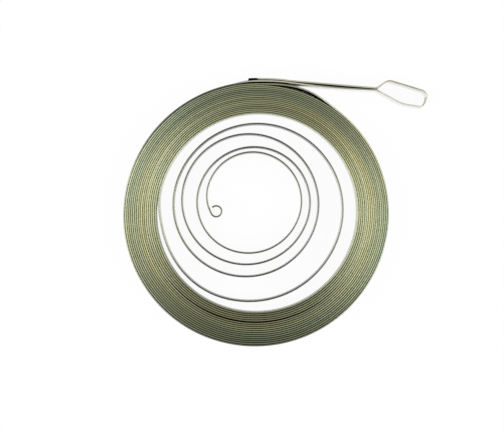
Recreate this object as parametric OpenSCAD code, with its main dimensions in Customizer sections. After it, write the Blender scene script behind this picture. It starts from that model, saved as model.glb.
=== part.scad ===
// Recoil starter spring: one flat steel strip, wound on edge into a spiral.
// Seen from +Z it winds clockwise outward: a small curl in the middle, four loose
// turns, the tight coil, a straight lead, a hooked eye and a tail that is folded
// back along the lead. The coil's axis is Z, the coil lies on the plane z = 0, and
// the eye points along +X. Sizes are in millimetres and angles in degrees.

/* [Strip] */
// Thickness of the strip
strip_t = 0.44; // [0.3:0.01:0.54]
// Width of the strip, which is the height of the coil
strip_w = 7; // [4:0.5:12]

/* [Tight coil] */
// Mean diameter over the outermost full turn
coil_d = 74.3; // [70:0.1:90]
// Difference in radius between the quarter turns, which makes the coil slightly oval
oval = 1; // [0:0.1:1.2]
// Number of tight turns
tight_turns = 17; // [8:1:18]
// Clear gap between tight turns where they lie closest, at +Y
turn_gap = 0.06; // [0.05:0.01:0.1]
// How far each tight turn sags to -Y against the turn inside it
turn_sag = 0.034; // [0:0.002:0.04]
// Tight turn, counted from inside, that sags more than the others
slack_turn = 6; // [2:1:7]
// Extra sag of that turn
slack_sag = 0.08; // [0:0.01:0.2]
// Height of the bulge that lifts the last turn off the coil near +Y
bulge_h = 0.8; // [0:0.1:1.4]
// Angle from +X at which the bulge ends
bulge_end = 60; // [5:1:66]
// Angle from +X at which the bulge is highest
bulge_top = 86; // [75:1:90]
// Angle from +X at which the bulge begins
bulge_start = 108; // [100:1:130]

/* [Loose turns] */
// Clear gaps outside the four loose turns at +Y, outermost turn first
gap_top = [2.75, 3.2, 2.75, 1.15]; // [1:0.05:4]
// Clear gaps outside the four loose turns at +X, outermost turn first
gap_right = [3.9, 6.65, 2.15, 2.1]; // [1.5:0.05:7]
// Clear gaps outside the four loose turns at -Y, outermost turn first
gap_bottom = [2.15, 6.15, 2.95, 2.95]; // [1.5:0.05:7]
// Clear gaps outside the four loose turns at -X, outermost turn first
gap_left = [3.4, 1.65, 3.9, 1.85]; // [1.5:0.05:4]

/* [Inner end] */
// Radius of the bend from the innermost turn into the curl
hook_r = 10.4; // [8:0.1:14]
// Angle of that bend
hook_angle = 46; // [30:1:60]
// Inside diameter of the curl
curl_d = 2.6; // [2:0.1:4]
// Angle that the curl wraps
curl_angle = 287; // [180:1:300]

/* [Outer end] */
// Gap that opens between the strip and the last full turn before the lead leaves
leave_gap = 0.35; // [0:0.05:0.5]
// Angle from +X at which that gap begins to open
leave_start = 120; // [115:1:140]
// Angle over which it opens
leave_rise = 12; // [8:1:20]
// Angle past -X at which the lead leaves the coil
lead_angle = 86; // [80:0.5:88]
// Length of the lead, from the coil to the neck of the eye
lead_l = 24.6; // [20:0.1:40]
// Clear gap between the lead and the tail at the neck and on the coil
lead_gap = 0.08; // [0.06:0.01:0.2]
// How far the lead sags away from the tail, midway along it
lead_sag = 0.3; // [0:0.05:0.6]
// Angle that the tail wraps over the coil
tail_wrap = 17; // [8:1:24]
// How far the tip of the tail stands off the coil
tail_lift = 0.15; // [0:0.05:0.8]
// Length of the eye, from its neck to its far end
eye_l = 14.7; // [12:0.1:18]
// Clear width of the eye
eye_w = 4.5; // [4.1:0.1:6]
// How far the lower side of the eye drops below the neck
eye_drop = 1.3; // [0.8:0.1:1.8]
// Length of the slanting part of the lower side
keel_l = 4; // [3:0.1:5]
// Length of the slanting part of the upper side
shoulder_l = 2.5; // [2:0.1:3.5]
// How far the lower far corner lies back from the far end
heel_back = 0.7; // [0:0.1:1]
// How far the lower far corner rises above the lower side
heel_rise = 0.5; // [0:0.1:0.8]
// Radius of the bends at the neck
neck_r = 1.2; // [0.6:0.1:1.6]
// Radius of the bend in the lower side
keel_r = 9; // [4:0.5:12]
// Radius of the lower far corner
heel_r = 1.2; // [0.6:0.1:1.4]
// Radius of the upper far corner
toe_r = 2.2; // [1:0.1:2.6]
// Radius of the bend in the upper side
shoulder_r = 2.4; // [1:0.1:3]

/* [Hidden] */
$fn = 144;

loose_turns = len(gap_top);
tight_quarters = 4 * tight_turns;
tight_pitch = strip_t + turn_gap;
// The last full turn carries the bulge, so it belongs to the outer end.
outer_start = tight_quarters - 4;
// Angle steps of the outlines that are not plain quarter turns
coil_step = 2.5;
curl_step = 7;
fillet_steps = 8;
lead_steps = 12;

// Joints lie at -X, +Y, +X and -Y in turn, which is clockwise.
JOINT_DIRS = [[-1, 0], [0, 1], [1, 0], [0, -1]];
function joint_dir(k) = JOINT_DIRS[(k % 4 + 4) % 4];
function joint_angle(k) = 180 - 90 * ((k % 4 + 4) % 4);

function micron(x) = round(x * 1000) / 1000;
function micron_point(p) = [micron(p.x), micron(p.y)];
function polar(a) = [cos(a), sin(a)];
function unit(v) = v / norm(v);
function turned(v, a) = [v.x * cos(a) - v.y * sin(a), v.x * sin(a) + v.y * cos(a)];
function left_of(v) = [-v.y, v.x];
function last(list) = list[len(list) - 1];
function reversed(list) = [for (i = [len(list) - 1 : -1 : 0]) list[i]];
function sum_to(list, n) = n < 0 ? 0 : list[n] + sum_to(list, n - 1);

// A quarter turn is [centre, radius] of the strip's centre line. Quarter k runs
// clockwise from joint k to joint k + 1, and shares its tangent with both neighbours.
function joint_point(quarter, k) = quarter[0] + quarter[1] * joint_dir(k);

// Growth of the radius at joint k of the tight coil. Even quarters have the larger radius.
function sag(k) = turn_sag + (floor(k / 4) == slack_turn - 1 ? slack_sag : 0);
function growth(k) = micron(tight_pitch / 4 + (k % 4 == 1 ? sag(k) : 0) + (k % 2 == 0 ? oval : -oval));

// The outermost full turn ends on the coil's diameter, and each quarter inside it
// is smaller by the growth at the joint between them.
function tight_quarter(k) = k == tight_quarters - 1
    ? [[-oval / 2, -oval / 2], micron((coil_d - strip_t - oval) / 2)]
    : k >= tight_quarters ? next_quarter(tight_quarter(k - 1), k)
    : let (outer = tight_quarter(k + 1), step = growth(k + 1))
      [micron_point(outer[0] + step * joint_dir(k + 1)), micron(outer[1] - step)];
function next_quarter(inner, k) = let (step = growth(k))
    [micron_point(inner[0] - step * joint_dir(k)), micron(inner[1] + step)];

// Loose quarters are numbered inward from the tight coil, and quarter i starts at
// joint -1 - i. Each reaches as far from the axis as the gaps outside it leave.
function side_gaps(k) = [gap_left, gap_top, gap_right, gap_bottom][(k % 4 + 4) % 4];
function tight_reach(k) = joint_point(tight_quarter(k), k) * joint_dir(k);
function loose_reach(i) = let (k = -1 - i, side = (k % 4 + 4) % 4, turn = floor(i / 4))
    tight_reach(side) - sum_to(side_gaps(k), turn) - (turn + 1) * strip_t;
function loose_quarter(i) = let (
        outer = i == 0 ? tight_quarter(0) : loose_quarter(i - 1),
        end = joint_point(outer, -i),
        radius = micron(loose_reach(i) - end * joint_dir(-1 - i)))
    [micron_point(end - radius * joint_dir(-i)), radius];

// The bulge rises and falls as half waves.
function wave(x) = (1 - cos(180 * x)) / 2;
function bulge(a) = bulge_h * (
    a >= bulge_start || a <= bulge_end ? 0
    : a > bulge_top ? wave((bulge_start - a) / (bulge_start - bulge_top))
    : wave((a - bulge_end) / (bulge_top - bulge_end)));

// The strip past the last full turn stands off it by the gap that opens before the lead.
function standoff(k, a) = k < tight_quarters ? 0
    : leave_gap * wave(min(1, max(0, (leave_start - a) / leave_rise)));

// Point of quarter k at angle a on the centre line, lifted by the bulge and the given height
function quarter_point(k, a, lift = 0) = let (quarter = tight_quarter(k))
    quarter[0] + (quarter[1] + bulge(a) + standoff(k, a) + lift) * polar(a);
function quarter_line(k, angle) = let (n = ceil(angle / coil_step))
    [for (i = [0 : n]) quarter_point(k, joint_angle(k) - angle * i / n)];

// Round corner of a line at b, between a and c
function fillet(a, b, c, r) = let (
        back = unit(a - b),
        on = unit(c - b),
        half = acos(back * on) / 2,
        centre = b + unit(back + on) * r / sin(half),
        from = b + back * r / tan(half) - centre,
        turn = sign(back.y * on.x - back.x * on.y) * (180 - 2 * half))
    [for (i = [0 : fillet_steps]) let (t = turn * i / fillet_steps)
        centre + turned(from, t)];

// Outline of the strip along a centre line that starts in the given direction
function heading(line, i, start) = i == 0 ? start : unit(line[min(i + 1, len(line) - 1)] - line[i - 1]);
function side_line(line, start, side) = [for (i = [0 : len(line) - 1])
    line[i] + side * strip_t / 2 * left_of(heading(line, i, start))];
// The outline is drawn from the first point, which keeps the joint there exact.
module strip_along(line, start) {
    from_joint = [for (p = line) p - line[0]];
    translate(line[0])
        linear_extrude(strip_w)
            polygon(concat(side_line(from_joint, start, 1), reversed(side_line(from_joint, start, -1))));
}

// One quarter turn of strip, clockwise from joint k
module strip_quarter(quarter, k)
    translate(quarter[0])
        rotate(joint_angle(k) - 90)
            rotate_extrude(angle = 90)
                translate([quarter[1] - strip_t / 2, 0])
                    square([strip_t, strip_w]);

// Inner end, from the innermost joint: the bend, then the curl
inner_joint = micron_point(joint_point(loose_quarter(4 * loose_turns - 1), 0));
hook_centre = inner_joint + [hook_r, 0];
curl_r = curl_d / 2 + strip_t / 2;
curl_start = 180 + hook_angle;
curl_centre = hook_centre + (hook_r - curl_r) * polar(curl_start);
hook_n = ceil(hook_angle / coil_step);
curl_n = ceil(curl_angle / curl_step);
hook_line = [for (i = [1 : hook_n]) hook_centre + hook_r * polar(180 + hook_angle * i / hook_n)];
curl_line = [for (i = [1 : curl_n]) curl_centre + curl_r * polar(curl_start + curl_angle * i / curl_n)];

// Outer end: the last full turn, the lead, the eye and the tail
last_turn = [for (k = [outer_start : tight_quarters - 1], p = quarter_line(k, 90 - coil_step)) p];
leaving = quarter_line(tight_quarters, lead_angle);
lead_start = last(leaving);
leaving_dir = unit(lead_start - leaving[len(leaving) - 2]);
// The sagging lead curves away from the straight line to the neck by this angle at its ends.
sag_angle = atan(PI * lead_sag / lead_l);
lead_dir = turned(leaving_dir, sag_angle);
pair_step = strip_t + lead_gap;
neck_low = lead_start + lead_l * lead_dir;
neck_high = neck_low + pair_step * left_of(lead_dir);
eye_y = neck_low.y - eye_drop;
eye_x = neck_low.x + eye_l;
keel = [neck_low.x + keel_l, eye_y];
heel = [eye_x - heel_back, eye_y + heel_rise];
toe = [eye_x, eye_y + eye_w + strip_t];
shoulder = [neck_high.x + shoulder_l, toe.y];
lead_line = [for (i = [1 : lead_steps - 1]) let (u = i / lead_steps)
    lead_start + (neck_low - lead_start) * u - lead_sag * sin(180 * u) * left_of(lead_dir)];
tail_n = ceil(tail_wrap / coil_step);
tail_over_coil = [for (i = [0 : tail_n]) let (u = i / tail_n)
    quarter_point(tight_quarters, 180 - lead_angle + tail_wrap * u, pair_step + tail_lift * u)];
eye_line = concat(
    fillet(last(lead_line), neck_low, keel, neck_r),
    fillet(neck_low, keel, heel, keel_r),
    fillet(keel, heel, toe, heel_r),
    fillet(heel, toe, shoulder, toe_r),
    fillet(toe, shoulder, neck_high, shoulder_r),
    fillet(shoulder, neck_high, tail_over_coil[0], neck_r));

module inner_end() strip_along(concat([inner_joint], hook_line, curl_line), [0, -1]);
module outer_end() strip_along(concat(last_turn, leaving, lead_line, eye_line, tail_over_coil), [0, 1]);

module spiral_spring()
    color([0.56, 0.55, 0.42]) {
        inner_end();
        for (i = [0 : 4 * loose_turns - 1])
            strip_quarter(loose_quarter(i), -1 - i);
        for (k = [0 : outer_start - 1])
            strip_quarter(tight_quarter(k), k);
        outer_end();
    }

spiral_spring();
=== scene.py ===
import math
from types import SimpleNamespace

import bpy
import numpy as np
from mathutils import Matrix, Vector


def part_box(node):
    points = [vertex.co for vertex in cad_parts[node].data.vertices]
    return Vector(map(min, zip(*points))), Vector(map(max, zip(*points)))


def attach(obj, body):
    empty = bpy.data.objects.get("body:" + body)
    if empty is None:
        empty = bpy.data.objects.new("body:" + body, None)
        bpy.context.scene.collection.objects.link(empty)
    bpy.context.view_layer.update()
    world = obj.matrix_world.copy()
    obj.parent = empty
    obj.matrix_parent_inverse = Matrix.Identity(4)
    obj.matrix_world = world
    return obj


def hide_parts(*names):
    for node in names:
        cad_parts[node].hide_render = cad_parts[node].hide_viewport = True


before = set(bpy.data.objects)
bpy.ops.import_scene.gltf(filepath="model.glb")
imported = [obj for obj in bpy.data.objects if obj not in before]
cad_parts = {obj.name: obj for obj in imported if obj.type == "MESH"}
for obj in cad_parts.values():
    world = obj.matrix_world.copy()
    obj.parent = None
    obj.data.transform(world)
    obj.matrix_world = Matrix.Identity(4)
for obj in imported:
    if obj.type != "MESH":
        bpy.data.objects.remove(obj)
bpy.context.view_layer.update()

MM = 0.001
# Angle from the part's X axis to the picture's right
ROLL = 17.0


def millimetres(metres):
    """A length of the frame in millimetres, to a thousandth."""
    return round(metres / MM, 3)


# Sizes are in millimetres and angles in degrees. The end of the bulge, the opening, the settled turns and
# the lower side of the eye differ a little from the solid.
solid_low, solid_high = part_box("spiral_spring")

# Strip, with its slit edges rounded
STRIP_T = 0.44
STRIP_W = millimetres(solid_high[2] - solid_low[2])
EDGE_R = 0.17

# Tight coil. It is slightly oval, because its quarter turns differ in radius.
COIL_D = millimetres(-2 * solid_low[0])
OVAL = 1.0
TIGHT_TURNS = 17
TURN_GAP = 0.06
# Each turn sags to -Y against the turn inside it, and the slack one, counted from inside, sags more.
TURN_SAG = 0.034
SLACK_TURN = 6
SLACK_SAG = 0.08
# Bulge that lifts the last full turn off the coil near +Y, with its angles from +X
BULGE_H = 0.8
BULGE_END, BULGE_TOP, BULGE_START = 69.0, 86.0, 108.0

# Loose turns: clear gaps outside them, outermost turn first
GAP_TOP = (2.75, 3.2, 2.75, 1.15)
GAP_RIGHT = (3.9, 6.65, 2.15, 2.1)
GAP_BOTTOM = (2.15, 6.15, 2.95, 2.95)
GAP_LEFT = (3.4, 1.65, 3.9, 1.85)
# Opening: the outermost loose quarter stands further off the coil, most of all at this angle past -X
OPENING = 0.7
OPENING_TOP = 30.0

# Inner end: the bend from the innermost turn into the curl, and the curl
HOOK_R = 10.4
HOOK_ANGLE = 46.0
CURL_D = 2.6
CURL_ANGLE = 287.0

# Outer end: the gap that opens before the lead, from an angle from +X on and over a further angle
LEAVE_GAP = 0.35
LEAVE_START, LEAVE_RISE = 120.0, 12.0
# Lead, which leaves the coil at an angle past -X, and the tail, which comes back beside it over the coil
LEAD_ANGLE = 86.0
LEAD_L = 24.6
LEAD_GAP = 0.08
LEAD_SAG = 0.3
TAIL_WRAP = 17.0
TAIL_LIFT = 0.15

# Eye: its corners are the neck, the keel and the heel below, and the toe and the shoulder above
EYE_L = 14.7
EYE_W = 4.85
EYE_DROP = 1.65
KEEL_L = 8.0
SHOULDER_L = 2.5
HEEL_BACK = 0.7
HEEL_RISE = 0.85
NECK_R = 1.2
KEEL_R = 9.0
HEEL_R = 1.6
TOE_R = 2.2
SHOULDER_R = 2.4

# Steps of the swept mesh
EDGE_STEPS = 3
QUARTER_STEPS = 36
LEAVING_STEPS = 35
CURL_STEPS = 60
HOOK_STEPS = 20
LEAD_STEPS = 16
BEND_STEPS = 10
TAIL_STEPS = 10

TIGHT_QUARTERS = 4 * TIGHT_TURNS
PITCH = STRIP_T + TURN_GAP
# Joints between quarter turns lie at -X, +Y, +X and -Y in turn.
JOINT_DIRS = np.array([(-1, 0), (0, 1), (1, 0), (0, -1)], float)
# Turns of the strip from the tip of the curl to the tight coil. Laps are counted from there.
LOOSE_TURNS = len(GAP_TOP) + (HOOK_ANGLE + CURL_ANGLE) / 360
# Lap at which the slack turn begins to sag, at +Y
SLACK_LAP = SLACK_TURN - 0.75

# Map: the strip is cut into rows, each with four bands for its faces. Its two ends stand
# beside the rows.
MAP_ROWS = 16
ROW_MARGIN = 0.06
ROW_LEFT, ROW_LENGTH = 0.002, 0.976
EDGE_BAND, WALL_BAND = 1.0, 1.2
CAP_LEFT, CAP_W = 0.984, 0.012
CAP_LOW, CAP_H, CAP_STEP = 0.2, 0.2, 0.4


def joint_dir(k):
    return JOINT_DIRS[k % 4]


def joint_angle(k):
    return 180 - 90 * (k % 4)


def polar(angle):
    return np.array([math.cos(math.radians(angle)), math.sin(math.radians(angle))])


def unit(v):
    return v / np.linalg.norm(v)


def turned(v, angle):
    c, s = polar(angle)
    return np.array([v[0] * c - v[1] * s, v[0] * s + v[1] * c])


def left_of(v):
    return np.array([-v[1], v[0]])


def growth(k):
    """Growth of the radius at joint k of the tight coil. Even quarters have the larger radius."""
    sag = TURN_SAG + (SLACK_SAG if k // 4 == SLACK_TURN - 1 else 0)
    return PITCH / 4 + (sag if k % 4 == 1 else 0) + (OVAL if k % 2 == 0 else -OVAL)


def tight_quarters():
    """Centre and radius of each quarter turn of the tight coil, and of the one after it."""
    quarters = {TIGHT_QUARTERS - 1: (np.full(2, -OVAL / 2), (COIL_D - STRIP_T - OVAL) / 2)}
    for k in range(TIGHT_QUARTERS - 2, -1, -1):
        centre, radius = quarters[k + 1]
        step = growth(k + 1)
        quarters[k] = (centre + step * joint_dir(k + 1), radius - step)
    centre, radius = quarters[TIGHT_QUARTERS - 1]
    step = growth(TIGHT_QUARTERS)
    quarters[TIGHT_QUARTERS] = (centre - step * joint_dir(TIGHT_QUARTERS), radius + step)
    return quarters


def loose_quarters(tight):
    """Centre and radius of each loose quarter turn, numbered inward from the tight coil."""
    sides = (GAP_LEFT, GAP_TOP, GAP_RIGHT, GAP_BOTTOM)
    quarters = []
    outer = tight[0]
    for i in range(4 * len(GAP_TOP)):
        k = -1 - i
        side, turn = k % 4, i // 4
        centre, radius = tight[side]
        edge = (centre + radius * joint_dir(side)) @ joint_dir(side)
        reach = edge - sum(sides[side][: turn + 1]) - (turn + 1) * STRIP_T
        end = outer[0] + outer[1] * joint_dir(-i)
        radius = reach - end @ joint_dir(k)
        outer = (end - radius * joint_dir(-i), radius)
        quarters.append(outer)
    return quarters


def wave(x):
    """Smooth rise from 0 to 1 as x goes from 0 to 1."""
    return (1 - math.cos(math.pi * min(1, max(0, x)))) / 2


def bulge(a):
    """Lift of the last full turn off the coil at angle a."""
    if a > BULGE_TOP:
        return BULGE_H * wave((BULGE_START - a) / (BULGE_START - BULGE_TOP))
    return BULGE_H * wave((a - BULGE_END) / (BULGE_TOP - BULGE_END))


def opening(a):
    """Lift of the outermost loose quarter, from -Y to -X, which is inward and so below 0."""
    past = (a - 180) % 360
    return -OPENING * wave(past / OPENING_TOP if past < OPENING_TOP else (90 - past) / (90 - OPENING_TOP))


def settling(k):
    """Lift of quarter k by angle: turns inside the slack one have moved out at the coil's left and right."""
    def lift(a):
        lap = (k + (joint_angle(k) - a) / 90) / 4
        share = min(1, lap / (SLACK_LAP - 1)) if lap < SLACK_LAP else 0
        return SLACK_SAG * share * math.cos(math.radians(a)) ** 2
    return lift


def leaving_lift(a):
    """Lift of the strip past the last full turn."""
    return bulge(a) + LEAVE_GAP * wave((LEAVE_START - a) / LEAVE_RISE)


def arc(quarter, k, angle, steps, lift=None):
    """Points of a turn through angle from joint k on, without the last one."""
    centre, radius = quarter
    points = []
    for i in range(steps):
        a = joint_angle(k) - angle * i / steps
        points.append(centre + (radius + (lift(a) if lift else 0)) * polar(a))
    return points


def fillet(a, b, c, r):
    """Points of the arc of radius r that rounds the corner b between a and c."""
    back, on = unit(a - b), unit(c - b)
    half = math.degrees(math.acos(back @ on)) / 2
    centre = b + unit(back + on) * r / math.sin(math.radians(half))
    start = b + back * r / math.tan(math.radians(half)) - centre
    turn = math.copysign(180 - 2 * half, back[1] * on[0] - back[0] * on[1])
    return [centre + turned(start, turn * i / BEND_STEPS) for i in range(BEND_STEPS + 1)]


def inner_end(quarter):
    """Curl and hook, up to the start of the innermost loose turn."""
    centre, radius = quarter
    hook_centre = centre + radius * joint_dir(0) + np.array([HOOK_R, 0])
    curl_r = CURL_D / 2 + STRIP_T / 2
    curl_start = 180 + HOOK_ANGLE
    curl_centre = hook_centre + (HOOK_R - curl_r) * polar(curl_start)
    points = []
    for i in range(CURL_STEPS, 0, -1):
        points.append(curl_centre + curl_r * polar(curl_start + CURL_ANGLE * i / CURL_STEPS))
    for i in range(HOOK_STEPS, 0, -1):
        points.append(hook_centre + HOOK_R * polar(180 + HOOK_ANGLE * i / HOOK_STEPS))
    return points


def eye_corners(neck_low, neck_high):
    """Corners of the eye, from its neck round to its neck."""
    low = neck_low[1] - EYE_DROP
    far = neck_low[0] + EYE_L
    keel = np.array([neck_low[0] + KEEL_L, low])
    heel = np.array([far - HEEL_BACK, low + HEEL_RISE])
    toe = np.array([far, low + EYE_W + STRIP_T])
    shoulder = np.array([neck_high[0] + SHOULDER_L, toe[1]])
    return [neck_low, keel, heel, toe, shoulder, neck_high]


def outer_end(quarter):
    """Leaving stretch, lead, eye and tail, from the end of the last full turn."""
    centre, radius = quarter
    leaving = arc(quarter, TIGHT_QUARTERS, LEAD_ANGLE, LEAVING_STEPS, leaving_lift)
    start_angle = 180 - LEAD_ANGLE
    lead_start = centre + (radius + leaving_lift(start_angle)) * polar(start_angle)
    sag_angle = math.degrees(math.atan(math.pi * LEAD_SAG / LEAD_L))
    lead_dir = turned(unit(lead_start - leaving[-1]), sag_angle)
    pair_step = STRIP_T + LEAD_GAP
    neck_low = lead_start + LEAD_L * lead_dir
    neck_high = neck_low + pair_step * left_of(lead_dir)

    lead = []
    for i in range(LEAD_STEPS):
        u = i / LEAD_STEPS
        sag = LEAD_SAG * math.sin(math.pi * u)
        lead.append(lead_start + (neck_low - lead_start) * u - sag * left_of(lead_dir))
    tail = []
    for i in range(TAIL_STEPS + 1):
        a = start_angle + TAIL_WRAP * i / TAIL_STEPS
        lift = leaving_lift(a) + pair_step + TAIL_LIFT * i / TAIL_STEPS
        tail.append(centre + (radius + lift) * polar(a))
    corners = [lead[-1], *eye_corners(neck_low, neck_high), tail[0]]
    radii = (NECK_R, KEEL_R, HEEL_R, TOE_R, SHOULDER_R, NECK_R)
    eye = []
    for a, b, c, r in zip(corners, corners[1:], corners[2:], radii):
        eye += fillet(a, b, c, r)
    return leaving + lead + eye + tail


def strip_route():
    """Centre line of the strip, from the tip of the curl to the tip of the tail."""
    tight = tight_quarters()
    loose = loose_quarters(tight)
    route = inner_end(loose[-1])
    for i in range(len(loose) - 1, -1, -1):
        route += arc(loose[i], -1 - i, 90, QUARTER_STEPS, None if i else opening)
    for k in range(TIGHT_QUARTERS):
        lift = bulge if k >= TIGHT_QUARTERS - 4 else settling(k)
        route += arc(tight[k], k, 90, QUARTER_STEPS, lift)
    return np.array(route + outer_end(tight[TIGHT_QUARTERS]))


def headings(route):
    """Direction of the strip at each point of its route."""
    ahead = np.empty_like(route)
    ahead[1:-1] = route[2:] - route[:-2]
    ahead[0] = route[1] - route[0]
    ahead[-1] = route[-1] - route[-2]
    return ahead / np.linalg.norm(ahead, axis=1)[:, None]


def strip_section():
    """Closed outline of the strip with its edges rounded: places and normals, out and up."""
    places, normals = [], []
    out, low, high = STRIP_T / 2 - EDGE_R, EDGE_R, STRIP_W - EDGE_R
    for x, z, begin in ((out, low, -90), (out, high, 0), (-out, high, 90), (-out, low, 180)):
        for i in range(EDGE_STEPS + 1):
            n = polar(begin + 90 * i / EDGE_STEPS)
            places.append((x + EDGE_R * n[0], z + EDGE_R * n[1]))
            normals.append(n)
    return np.array(places), np.array(normals)


def sweep_faces(n, m):
    """Faces between n sections of m points, and the two ends last."""
    i, j = np.meshgrid(np.arange(n - 1), np.arange(m), indexing="ij")
    k = (j + 1) % m
    quads = np.stack([i * m + j, i * m + k, (i + 1) * m + k, (i + 1) * m + j], 2).reshape(-1, 4)
    first_end = list(range(m - 1, -1, -1))
    last_end = [(n - 1) * m + j for j in range(m)]
    return quads.tolist() + [first_end, last_end]


def export_map(along):
    """Places of the strip's corners in the map, four to each face of the sweep."""
    m = 4 * (EDGE_STEPS + 1)
    bands = np.full(m, EDGE_BAND / (2 * EDGE_STEPS + 1))
    bands[[EDGE_STEPS, 3 * EDGE_STEPS + 2]] = WALL_BAND
    up = np.concatenate([[0], np.cumsum(bands)]) / bands.sum()
    row = np.minimum(along[:-1] / along[-1] * MAP_ROWS, MAP_ROWS - 1).astype(int)
    begin = np.array([along[:-1][row == r][0] for r in range(MAP_ROWS)])
    length = np.array([along[1:][row == r][-1] for r in range(MAP_ROWS)]) - begin
    u = np.stack([(along[:-1] - begin[row]) / length.max(), (along[1:] - begin[row]) / length.max()], 1)
    v = (row[:, None] + ROW_MARGIN + (1 - 2 * ROW_MARGIN) * up[None]) / MAP_ROWS
    uv = np.empty((len(row), m, 4, 2))
    uv[:, :, :2, 0] = u[:, None, :1]
    uv[:, :, 2:, 0] = u[:, None, 1:]
    uv[:, :, 0, 1] = uv[:, :, 3, 1] = v[:, :-1]
    uv[:, :, 1, 1] = uv[:, :, 2, 1] = v[:, 1:]
    uv[..., 0] = ROW_LEFT + ROW_LENGTH * uv[..., 0]
    return uv.reshape(-1, 2)


def cap_map(places, end):
    """Places of one end of the strip in the map."""
    flat = (places - places.min(0)) / (STRIP_T, STRIP_W)
    uv = (CAP_LEFT, CAP_LOW + CAP_STEP * end) + flat * (CAP_W, CAP_H)
    return uv[::-1] if end == 0 else uv


def sweep(name):
    """The strip as one mesh, with what its material reads at each point."""
    route = strip_route()
    places, normals = strip_section()
    n, m = len(route), len(places)
    ahead = headings(route)
    out = np.stack([-ahead[:, 1], ahead[:, 0]], 1)
    steps = np.linalg.norm(np.diff(route, axis=0), axis=1)
    along = np.concatenate([[0], np.cumsum(steps)])
    bends = np.abs(np.diff(np.unwrap(np.arctan2(ahead[:, 1], ahead[:, 0]))))
    lap = np.concatenate([[0], np.cumsum(bends)]) / (2 * math.pi) - LOOSE_TURNS

    def swept(section):
        whole = np.empty((n, m, 3))
        whole[:, :, :2] = section[None, :, :1] * out[:, None]
        whole[:, :, 2] = section[None, :, 1]
        return whole

    points = swept(places)
    points[:, :, :2] += route[:, None]
    faces = sweep_faces(n, m)
    mesh = bpy.data.meshes.new(name)
    mesh.from_pydata((points.reshape(-1, 3) * MM).tolist(), [], faces)
    for key, values in (
        ("along", np.repeat(along, m)),
        ("to_tip", np.repeat(along[-1] - along, m)),
        ("lap", np.repeat(lap, m)),
        ("height", np.tile(places[:, 1], n)),
        ("slit", np.tile(np.abs(normals[:, 1]), n)),
        ("outward", np.tile(normals[:, 0], n)),
        ("eye_side", np.repeat(route @ polar(ROLL + 90) / (COIL_D / 2), m)),
    ):
        mesh.attributes.new(key, "FLOAT", "POINT").data.foreach_set("value", values.astype(np.float32))
    lengthwise = np.repeat(np.hstack([ahead, np.zeros((n, 1))]), m, axis=0)
    data = mesh.attributes.new("lengthwise", "FLOAT_VECTOR", "POINT").data
    data.foreach_set("vector", lengthwise.astype(np.float32).ravel())
    # All faces are smooth but the two ends.
    mesh.polygons.foreach_set("use_smooth", [True] * (len(faces) - 2) + [False, False])
    mesh.validate()
    uv = np.concatenate([export_map(along), cap_map(places, 0), cap_map(places, 1)])
    mesh.uv_layers.new(name="OFBake").data.foreach_set("uv", uv.astype(np.float32).ravel())
    mesh.normals_split_custom_set_from_vertices(swept(normals).reshape(-1, 3).tolist())
    piece = bpy.data.objects.new(name, mesh)
    bpy.context.scene.collection.objects.link(piece)
    return piece


class Nodes:
    """Short calls for a material's or the world's nodes."""

    def __init__(self, tree):
        self.tree = tree
        tree.nodes.clear()

    def add(self, kind, **inputs):
        node = self.tree.nodes.new(kind)
        for key, value in inputs.items():
            self.put(node, key.replace("_", " "), value)
        return node

    def put(self, node, key, value):
        socket = node.inputs[int(key)] if key.isdigit() else node.inputs[key]
        if isinstance(value, bpy.types.NodeSocket):
            self.tree.links.new(value, socket)
        else:
            socket.default_value = value

    def value(self, name, output="Fac"):
        """What the mesh holds under a name."""
        node = self.tree.nodes.new("ShaderNodeAttribute")
        node.attribute_name = name
        return node.outputs[output]

    def math(self, operation, a, b=0.0, clamp=False):
        node = self.tree.nodes.new("ShaderNodeMath")
        node.operation = operation
        node.use_clamp = clamp
        self.put(node, "0", a)
        self.put(node, "1", b)
        return node.outputs[0]

    def times(self, a, b):
        return self.math("MULTIPLY", a, b)

    def without(self, mask):
        return self.math("SUBTRACT", 1.0, mask)

    def length(self, v):
        node = self.add("ShaderNodeVectorMath", **{"0": v})
        node.operation = "LENGTH"
        return node.outputs["Value"]

    def dot(self, a, b):
        node = self.add("ShaderNodeVectorMath", **{"0": a, "1": b})
        node.operation = "DOT_PRODUCT"
        return node.outputs["Value"]

    def vector(self, x, y, z):
        return self.add("ShaderNodeCombineXYZ", X=x, Y=y, Z=z).outputs[0]

    def noise(self, vector, scale, detail=2.0, roughness=0.5):
        inputs = {"Vector": vector, "Scale": scale, "Detail": detail, "Roughness": roughness}
        return self.add("ShaderNodeTexNoise", **inputs).outputs["Fac"]

    def span(self, value, low, high, to_low=0.0, to_high=1.0):
        """From to_low to to_high as value goes from low to high, and level outside them."""
        inputs = {"Value": value, "From Min": low, "From Max": high, "To Min": to_low, "To Max": to_high}
        return self.add("ShaderNodeMapRange", **inputs).outputs[0]

    def window(self, value, low, high, soft):
        """1 between low and high, 0 outside them."""
        past_low = self.span(value, low - soft, low + soft)
        short_of_high = self.span(value, high + soft, high - soft)
        return self.times(past_low, short_of_high)

    def ramp(self, value, low, high, stops):
        """Colours at the given places between low and high."""
        node = self.add("ShaderNodeValToRGB", Fac=self.span(value, low, high))
        elements = node.color_ramp.elements
        while len(elements) < len(stops):
            elements.new(1.0)
        for element, (place, colour) in zip(elements, stops):
            element.position = (place - low) / (high - low)
            element.color = (*colour, 1)
        return node.outputs["Color"]

    def mix(self, factor, a, b, blend="MIX"):
        node = self.tree.nodes.new("ShaderNodeMix")
        node.data_type = "RGBA"
        node.blend_type = blend
        self.put(node, "0", factor)
        self.put(node, "6", a)
        self.put(node, "7", b)
        return node.outputs[2]

    def tinted(self, colour, tint):
        return self.mix(1.0, colour, tint, "MULTIPLY")


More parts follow.
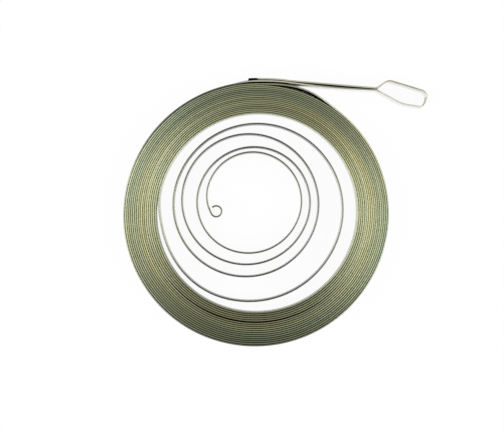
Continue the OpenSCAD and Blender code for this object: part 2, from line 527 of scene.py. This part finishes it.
# Places along the strip, in millimetres from the tip of the tail: the end of its black tip, the neck, the
# far end and the neck of the eye, the start of the lead, and the start of the outer end's own tones
TIP_END = 2.7
EYE_FROM, EYE_END, EYE_TO = 36.0, 52.0, 69.5
LEAD_START = 93.7
OUTER_END = 150.0

# Lap from which no turn lies outside the strip
OUTERMOST_LAP = TIGHT_TURNS - 0.76
# Laps between which the slack turn's gap lets some light in, and between which the faces in it are near black
LIT_GAP = (SLACK_TURN - 0.62, SLACK_TURN + 0.12)
BLACK_GAP = (SLACK_TURN - 0.41, SLACK_TURN - 0.20)

# Tone of the slit edge by lap, from the loose turns to the outer end. The cream at laps 16.25 to 16.31, on
# the last full turn near +Y, is a painted highlight.
TONE_LAPS = (-1.0, 18.0)
EDGE_TONES = (
    (-0.4, (0.195, 0.207, 0.20)),
    (0.1, (0.43, 0.45, 0.28)),
    (1.0, (0.421, 0.442, 0.263)),
    (4.0, (0.421, 0.440, 0.263)),
    (6.0, (0.452, 0.466, 0.267)),
    (8.5, (0.452, 0.466, 0.267)),
    (9.5, (0.429, 0.455, 0.271)),
    (11.0, (0.358, 0.395, 0.252)),
    (15.5, (0.358, 0.395, 0.252)),
    (16.2, (0.40, 0.43, 0.28)),
    (16.25, (0.85, 0.83, 0.60)),
    (16.31, (0.85, 0.83, 0.60)),
    (16.37, (0.40, 0.43, 0.28)),
    (16.7, (0.38, 0.40, 0.33)),
)

# Tone of the slit edge at the outer end, by millimetres from the tip. The cream on the eye, from 56 to 66.5
# mm, and where the leaving stretch meets the lead, from 93 to 102 mm, is painted light.
OUTER_TONES = (
    (0.0, (0.70, 0.71, 0.57)),
    (EYE_FROM - 1, (0.66, 0.67, 0.53)),
    (EYE_FROM + 1, (0.56, 0.56, 0.44)),
    (47.0, (0.56, 0.56, 0.44)),
    (56.0, (0.96, 0.96, 0.82)),
    (EYE_TO - 3, (0.96, 0.96, 0.82)),
    (EYE_TO + 1, (0.45, 0.46, 0.35)),
    (84.0, (0.45, 0.46, 0.35)),
    (93.0, (0.90, 0.90, 0.74)),
    (102.0, (0.90, 0.90, 0.74)),
    (110.0, (0.14, 0.145, 0.11)),
    (132.0, (0.12, 0.125, 0.10)),
    (142.0, (0.20, 0.21, 0.16)),
    (OUTER_END, (0.36, 0.39, 0.26)),
)

# Tints of the slit edges: tarnish, and painted light and shade on the loose turns at the sides and at the
# ends of the coil
WARM_TINT, COOL_TINT = (1.16, 1.02, 0.80, 1), (0.88, 1.0, 1.18, 1)
LOOSE_EDGE_SHADING = ((1.35, 1.35, 1.10, 1), (0.82, 0.84, 0.84, 1))

# Darkest and lightest streaks of the strip's faces, with painted light on the outer end, the painted shade on
# the shut-in faces and its patches, and tints of painted light and shade on the loose turns at the sides and
# at the ends of the coil
OPEN_WALL = ((0.60, 0.61, 0.55, 1), (0.92, 0.93, 0.86, 1))
LIT_END_WALL = ((0.84, 0.84, 0.79, 1), (0.97, 0.97, 0.93, 1))
DULL_WALL = ((0.42, 0.43, 0.41, 1), (0.66, 0.67, 0.64, 1))
SHADED_WALL = ((0.115, 0.118, 0.076, 1), (0.150, 0.128, 0.080, 1))
LOOSE_WALL_SHADING = ((1.0, 1.0, 0.93, 1), (0.45, 0.45, 0.45, 1))

# Near black of the faces in the slack turn's gap
GAP_BLACK = (0.015, 0.014, 0.010, 1)
BLACK_TIP = (0.012, 0.012, 0.009, 1)

# Part of a noise's range over which tones change
NOISE_RANGE = (0.3, 0.7)
STREAK_RANGE = (0.35, 0.65)

# Brightness of the slit edges by lap tint and grain, and painted shade from the far side of the coil to the
# eye's side
LAP_LEVEL = (0.70, 1.32)
GRAIN_LEVEL = (1.0, 0.75)
EYE_SIDE_EDGE_SHADE = (0.84, 1.16)
# Painted shade: brightness of the open faces from the far side of the coil to the eye's side
EYE_SIDE_WALL_SHADE = (0.6, 1.1)
# Painted light: brightness of the tight turns' edges and of the painted shade on shut-in faces, at the sides
# and at the ends of the coil
ENDS_EDGE_LIGHT = (1.0, 1.18)
ENDS_SHADE = (1.4, 0.75)
# Part of an edge's rounding over which its tone begins and is full, at the sides and at the ends of the coil.
# The narrower tone at the ends is painted shade.
EDGE_BEGINS = (0.35, 0.55)
EDGE_FULL = (0.85, 0.98)
# Lean of the surface, out or in, that counts it to the outer or the inner face
LEAN = 0.01

# Roughness of the slit edges and of the open faces, by streak, and what is added to it
EDGE_ROUGH = (0.40, 0.52)
OPEN_ROUGH = (0.20, 0.32)
GRAIN_ROUGH = 0.1
EYE_ROUGH = 0.3
LOOSE_ROUGH = 0.12
AWAY_ROUGH = 0.15

# Rolling marks: their relief, its depth in millimetres, how much the shine spreads across them, and the
# turn from along the strip to across it
RELIEF = 0.35
RELIEF_DEPTH = 0.02
SPREAD = 0.85
QUARTER_TURN = 0.25


def strip_marks(t):
    """Marks of the rolled strip: streaks and grain along it, patches in the painted shade, and tones that
    change slowly.
    """
    along, height = t.value("along"), t.value("height")

    def stretched(lengthwise, crosswise, layer):
        return t.vector(t.times(along, lengthwise), t.times(height, crosswise), layer)

    def lengthwise_only(lengthwise, row):
        return t.vector(t.times(along, lengthwise), row, 0.0)

    return SimpleNamespace(
        streaks=t.noise(stretched(0.03, 3.0, layer=0.0), scale=4.0, detail=3.0),
        shade_patches=t.noise(stretched(0.05, 0.25, layer=7.0), scale=1.0, detail=3.0),
        grain=t.noise(stretched(0.6, 6.0, layer=5.0), scale=3.0, detail=2.0),
        lap_tint=t.noise(lengthwise_only(0.012, row=3.0), scale=1.0, detail=4.0, roughness=0.6),
        tarnish=t.noise(lengthwise_only(0.02, row=11.0), scale=1.0, detail=3.0),
    )


def strip_places(t):
    """Stretches and faces of the strip that have tones of their own: 1 there and 0 elsewhere."""
    lap, to_tip, outward = t.value("lap"), t.value("to_tip"), t.value("outward")
    outer_end = t.math("LESS_THAN", to_tip, LEAD_START)
    eye = t.times(t.span(to_tip, EYE_FROM - 1, EYE_FROM + 2), t.span(to_tip, EYE_TO + 1, EYE_TO - 2))
    tip = t.span(to_tip, TIP_END + 0.5, TIP_END - 0.5)
    loose = t.span(lap, 0.0, -0.15)
    # Ends of the coil, towards and away from the eye
    ends = t.span(t.math("ABSOLUTE", t.value("eye_side")), 0.15, 0.55)
    # Faces that look away from the axis. The strip turns back at the end of the eye.
    away = t.times(outward, t.span(to_tip, EYE_END - 1, EYE_END + 1, -1.0, 1.0))
    away = t.span(away, -LEAN, LEAN)
    # Slit edges, whose tone covers less of their rounding at the coil's ends, as painted shade
    edge_begins = t.span(ends, 0.0, 1.0, *EDGE_BEGINS)
    edge_full = t.span(ends, 0.0, 1.0, *EDGE_FULL)
    on_edge = t.span(t.value("slit"), edge_begins, edge_full)

    # Laps of the turns inside and outside the gap at each face
    inner_lap = t.math("SUBTRACT", lap, t.span(outward, LEAN, -LEAN))
    outer_lap = t.math("ADD", lap, t.span(outward, -LEAN, LEAN))
    # Painted shade goes on the faces that tight turns shut in, less so at the slack turn's gap, and on those
    # between the lead and the tail.
    shut_in = t.times(t.math("GREATER_THAN", inner_lap, 0.0), t.without(outer_end))
    shut_in = t.times(shut_in, t.math("LESS_THAN", inner_lap, OUTERMOST_LAP))
    shut_in = t.math("SUBTRACT", shut_in, t.window(outer_lap, *LIT_GAP, soft=0.08), clamp=True)
    paired = t.times(t.times(outer_end, t.without(eye)), t.span(outward, 0.5, 0.9))
    painted_shade = t.math("MAXIMUM", shut_in, paired)
    # The faces on both sides of the slack turn's gap are near black over these laps.
    gap_black = t.window(outer_lap, *BLACK_GAP, soft=0.05)
    gap_black = t.times(gap_black, t.span(t.math("ABSOLUTE", outward), 0.1, 0.5))
    return SimpleNamespace(
        outer_end=outer_end,
        eye=eye,
        tip=tip,
        loose=loose,
        ends=ends,
        away=away,
        on_edge=on_edge,
        painted_shade=painted_shade,
        gap_black=gap_black,
    )


def edge_colour(t, marks, places):
    """Colour of the slit edges."""
    to_tip = t.value("to_tip")
    tone = t.ramp(t.value("lap"), *TONE_LAPS, EDGE_TONES)
    outer_tone = t.ramp(to_tip, 0.0, OUTER_END, OUTER_TONES)
    tone = t.mix(t.math("LESS_THAN", to_tip, OUTER_END), tone, outer_tone)
    tone = t.tinted(tone, t.mix(t.span(marks.tarnish, *NOISE_RANGE), WARM_TINT, COOL_TINT))
    grain_level = t.span(marks.grain, 0.55, 0.8, *GRAIN_LEVEL)
    level = t.times(t.span(marks.lap_tint, *NOISE_RANGE, *LAP_LEVEL), grain_level)
    # Painted shade: the edges are darker on the side of the coil away from the eye.
    level = t.times(level, t.span(t.value("eye_side"), -1.0, 1.0, *EYE_SIDE_EDGE_SHADE))
    edge = t.tinted(tone, level)
    # Painted light and shade: the loose turns are lighter at the coil's sides and greyer at its ends, and the
    # tight ones are a little lighter at the ends.
    loose_edge = t.tinted(edge, t.mix(places.ends, *LOOSE_EDGE_SHADING))
    tight_edge = t.tinted(edge, t.span(places.ends, 0.0, 1.0, *ENDS_EDGE_LIGHT))
    return t.mix(places.loose, tight_edge, loose_edge)


def wall_colour(t, marks, places):
    """Colour of the strip's faces: dark with painted shade where other turns shut them in, and bright
    elsewhere.
    """
    def streaked(tones):
        return t.mix(t.span(marks.streaks, *STREAK_RANGE), *tones)

    # Painted light and shade: the faces are darker on the side of the coil away from the eye, and the loose
    # turns' faces are lighter at the coil's sides and darker at its ends.
    wall = t.tinted(streaked(OPEN_WALL), t.span(t.value("eye_side"), -0.8, 0.8, *EYE_SIDE_WALL_SHADE))
    wall = t.mix(places.loose, wall, t.tinted(wall, t.mix(places.ends, *LOOSE_WALL_SHADING)))
    # The outer end is the brightest, with painted light, and the faces that look away from the axis are
    # duller.
    wall = t.mix(places.outer_end, wall, streaked(LIT_END_WALL))
    wall = t.mix(places.away, wall, streaked(DULL_WALL))
    # Painted shade on the shut-in faces, in patches, lighter at the coil's sides and darker at its ends.
    shade_tone = t.mix(t.span(marks.shade_patches, 0.5, 0.75, 0.0, 0.5), *SHADED_WALL)
    shade_tone = t.tinted(shade_tone, t.span(places.ends, 0.0, 1.0, *ENDS_SHADE))
    return t.mix(places.painted_shade, wall, shade_tone)


def steel_roughness(t, marks, places):
    """Roughness of the steel. The eye and the loose turns are duller than the coil."""
    rough = t.span(marks.streaks, *NOISE_RANGE, *EDGE_ROUGH)
    rough = t.math("ADD", rough, t.span(marks.grain, 0.3, 0.8, 0.0, GRAIN_ROUGH))
    rough = t.math("ADD", rough, t.times(places.eye, EYE_ROUGH))
    rough = t.math("ADD", rough, t.span(t.value("lap"), -0.1, -0.4, 0.0, LOOSE_ROUGH))
    # The open faces, outside the painted shade, are smoother than the slit edges.
    polished = t.times(t.without(places.on_edge), t.without(places.painted_shade))
    polish = t.span(marks.streaks, *NOISE_RANGE, *OPEN_ROUGH)
    polish = t.math("ADD", polish, t.times(places.away, AWAY_ROUGH))
    return t.math("ADD", rough, t.times(polished, t.math("SUBTRACT", polish, rough)))


def spring_steel():
    material = bpy.data.materials.new("spring_steel")
    material.use_nodes = True
    t = Nodes(material.node_tree)
    marks = strip_marks(t)
    places = strip_places(t)
    colour = t.mix(places.on_edge, wall_colour(t, marks, places), edge_colour(t, marks, places))
    # The faces in the slack turn's gap are near black over some laps.
    colour = t.mix(places.gap_black, colour, GAP_BLACK)
    colour = t.mix(places.tip, colour, BLACK_TIP)
    rough = steel_roughness(t, marks, places)
    bump = t.add("ShaderNodeBump", Strength=RELIEF, Distance=RELIEF_DEPTH * MM, Height=marks.streaks)
    shader = t.add("ShaderNodeBsdfPrincipled", Base_Color=colour, Metallic=1.0, Roughness=rough)
    # The rolling marks run along the strip, so its shine spreads across them.
    shader.inputs["Anisotropic"].default_value = SPREAD
    shader.inputs["Anisotropic Rotation"].default_value = QUARTER_TURN
    t.put(shader, "Tangent", t.value("lengthwise", "Vector"))
    t.put(shader, "Normal", bump.outputs[0])
    t.add("ShaderNodeOutputMaterial", Surface=shader.outputs[0])
    return material


spring = sweep("spring_strip")
spring.data.materials.append(spring_steel())
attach(spring, "root")
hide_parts("spiral_spring")

# Photograph: its frame, the scale in the plane of the coil's upper edges, and the coil's axis in it
IMAGE_W, IMAGE_H = 504, 432
MM_PER_PIXEL = 0.2795
AXIS_PIXEL = (256.32, 214.15)
# Camera: its distance from that plane, how near it begins to see, and its sensor's width, in millimetres
CAMERA_DISTANCE = 480.0
CAMERA_CLIP = 10.0
SENSOR = 36.0

right, up = polar(ROLL), polar(ROLL + 90)
shift = right * (AXIS_PIXEL[0] - IMAGE_W / 2) + up * (IMAGE_H / 2 - AXIS_PIXEL[1])
at = -shift * MM_PER_PIXEL
camera = bpy.data.objects.new("camera", bpy.data.cameras.new("camera"))
camera.data.sensor_width = SENSOR
camera.data.lens = SENSOR * CAMERA_DISTANCE / (IMAGE_W * MM_PER_PIXEL)
camera.data.clip_start = CAMERA_CLIP * MM
camera.location = Vector((at[0], at[1], CAMERA_DISTANCE + STRIP_W)) * MM
camera.rotation_euler = (0, 0, math.radians(ROLL))
bpy.context.scene.collection.objects.link(camera)
bpy.context.scene.camera = camera

# Softboxes: their height above the floor in degrees, and their distance and side in metres
SOFTBOX_ELEVATION = 40
SOFTBOX_DISTANCE = 0.9
SOFTBOX_SIDE = 0.9


def softbox(name, angle, watts):
    """Square light at an angle from the picture's right, aimed at the coil."""
    data = bpy.data.lights.new(name, "AREA")
    data.shape = "SQUARE"
    data.size = SOFTBOX_SIDE
    data.energy = watts
    light = bpy.data.objects.new(name, data)
    elevation = math.radians(SOFTBOX_ELEVATION)
    flat = polar(ROLL + angle) * math.cos(elevation)
    toward = Vector((flat[0], flat[1], math.sin(elevation)))
    light.location = toward * SOFTBOX_DISTANCE
    light.rotation_euler = toward.to_track_quat("Z", "Y").to_euler()
    bpy.context.scene.collection.objects.link(light)


softbox("softbox_right", -15, 5.9)
softbox("softbox_left", 185, 5.6)

# Floor: half its side in metres, how far it lies below the strip, and how much of it is plain white
FLOOR_HALF = 3.0
FLOOR_GAP = 0.02
FLOOR_WHITE = 0.94
# Ring of the floor under the coil: its inner edge, its rim, and its rim on the side where the strip is lifted
RING_INSIDE = (29.2, 30.0)
RING_RIM, LIFTED_RIM = 37.3, 38.1
RIM_SOFT = 0.15
LIFTED_SIDE = 100
# Darkest and lightest fibres of the paper
PAPER = ((0.90, 0.90, 0.90, 1), (0.93, 0.93, 0.925, 1))


def under_coil(t, place):
    """1 on the ring of the floor that the coil covers."""
    radius = t.length(place)
    toward_lift = t.dot(place, (*polar(LIFTED_SIDE), 0))
    lifted = t.math("DIVIDE", toward_lift, t.math("MAXIMUM", radius, MM))
    rim = t.span(lifted, 0.95, 0.985, RING_RIM * MM, LIFTED_RIM * MM)
    inside_rim = t.span(t.math("SUBTRACT", radius, rim), RIM_SOFT * MM, 0.0)
    return t.times(t.span(radius, RING_INSIDE[0] * MM, RING_INSIDE[1] * MM), inside_rim)


def floor_paper():
    material = bpy.data.materials.new("floor_paper")
    material.use_nodes = True
    t = Nodes(material.node_tree)
    place = t.add("ShaderNodeTexCoord").outputs["Object"]
    fibres = t.noise(place, scale=90.0, detail=4.0)
    paper = t.add("ShaderNodeBsdfDiffuse", Color=t.mix(t.span(fibres, *NOISE_RANGE), *PAPER))
    white = t.add("ShaderNodeEmission", Color=(1, 1, 1, 1), Strength=1.0)
    # The paper is white to the camera and in the steel's shine, but not where the coil shuts the light out.
    path = t.add("ShaderNodeLightPath").outputs
    seen = t.math("MAXIMUM", path["Is Camera Ray"], path["Is Glossy Ray"])
    share = t.times(t.times(seen, FLOOR_WHITE), t.without(under_coil(t, place)))
    both = t.add("ShaderNodeMixShader", **{"0": share, "1": paper.outputs[0], "2": white.outputs[0]})
    t.add("ShaderNodeOutputMaterial", Surface=both.outputs[0])
    return material


corners = [(FLOOR_HALF * x, FLOOR_HALF * y, 0) for x, y in ((-1, -1), (1, -1), (1, 1), (-1, 1))]
floor_mesh = bpy.data.meshes.new("floor")
floor_mesh.from_pydata(corners, [], [(0, 1, 2, 3)])
floor_mesh.materials.append(floor_paper())
floor = bpy.data.objects.new("floor", floor_mesh)
floor.location.z = -FLOOR_GAP * MM
bpy.context.scene.collection.objects.link(floor)

# World: its light on the object, and the white that the camera sees
WORLD_LIGHT, WORLD_SEEN = 0.48, 1.0

world = bpy.data.worlds.new("studio")
world.use_nodes = True
bpy.context.scene.world = world
w = Nodes(world.node_tree)
camera_ray = w.add("ShaderNodeLightPath").outputs["Is Camera Ray"]
strength = w.span(camera_ray, 0.0, 1.0, WORLD_LIGHT, WORLD_SEEN)
background = w.add("ShaderNodeBackground", Color=(1, 1, 1, 1), Strength=strength)
w.add("ShaderNodeOutputWorld", Surface=background.outputs[0])

bpy.context.scene.view_settings.view_transform = "Standard"
